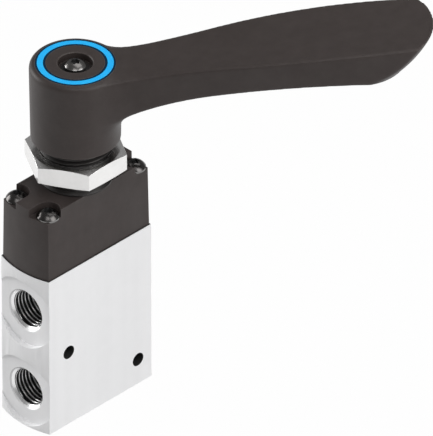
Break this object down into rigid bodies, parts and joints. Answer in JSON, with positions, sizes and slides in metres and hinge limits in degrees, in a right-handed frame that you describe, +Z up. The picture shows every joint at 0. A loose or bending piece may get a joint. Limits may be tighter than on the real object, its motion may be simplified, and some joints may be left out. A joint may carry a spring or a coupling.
{
  "type": "hand lever air valve",
  "caption": "Slim hand lever air valve for panel mounting: bored body with threaded ports, moulded head, hexagon panel nut and a long turning lever.",
  "frame": {"origin": "middle of the valve body's bottom face, on the axis of the spindle and the spool", "axes": "+Z up along the spindle, +X across the narrow width, -Y towards the face with two ports"},
  "size_m": [0.0939, 0.1032, 0.1326],
  "materials": {
    "satin_aluminium": "bead blasted and anodised, satin",
    "black_plastic": "fine moulded grain",
    "black_bush": "black, threaded",
    "bright_nut": "bright plated",
    "dark_steel": "dark, polished",
    "plain_steel": "ground",
    "bearing_plastic": "natural bearing plastic",
    "black_rubber": "matte",
    "blue_plastic": "smooth, light blue",
    "brass": "turned"
  },
  "bodies": {
    "root": {"valve_body": "satin_aluminium", "housing_gasket": "black_rubber", "actuator_housing": "black_plastic", "housing_screws": "dark_steel", "panel_bush": "black_bush", "panel_nut": "bright_nut", "stop_pin": "plain_steel", "dust_seal": "black_rubber", "guide_sleeve": "bearing_plastic", "seal_spacers": "bearing_plastic", "seal_rings": "black_rubber", "seal_retainer": "brass", "bore_retaining_ring": "plain_steel", "bottom_bumper": "black_rubber"},
    "lever": {"lever_handle": "black_plastic", "marker_ring": "blue_plastic", "lever_screw": "dark_steel", "lever_washer": "dark_steel", "spindle": "plain_steel", "spindle_o_ring": "black_rubber", "thrust_washer": "bearing_plastic", "cam_barrel": "plain_steel", "cam_pin": "plain_steel"},
    "spool": {"spool": "plain_steel", "spool_lock_nut": "plain_steel", "plunger": "brass", "cross_pin": "plain_steel", "follower_rollers": "plain_steel"}
  },
  "joints": [
    {"name": "lever_turn", "type": "hinge", "parent": "root", "child": "lever", "pos_m": [0, 0, 0.1], "axis": [0, 0, 1], "range_deg": [0, 90]},
    {"name": "spool_slide", "type": "slide", "parent": "root", "child": "spool", "axis": [0, 0, 1], "range_m": [0, 0.004]}
  ],
  "couplings": [
    {"joint": "spool_slide", "follows": "lever_turn", "m_per_rad": 0.0025465}
  ]
}
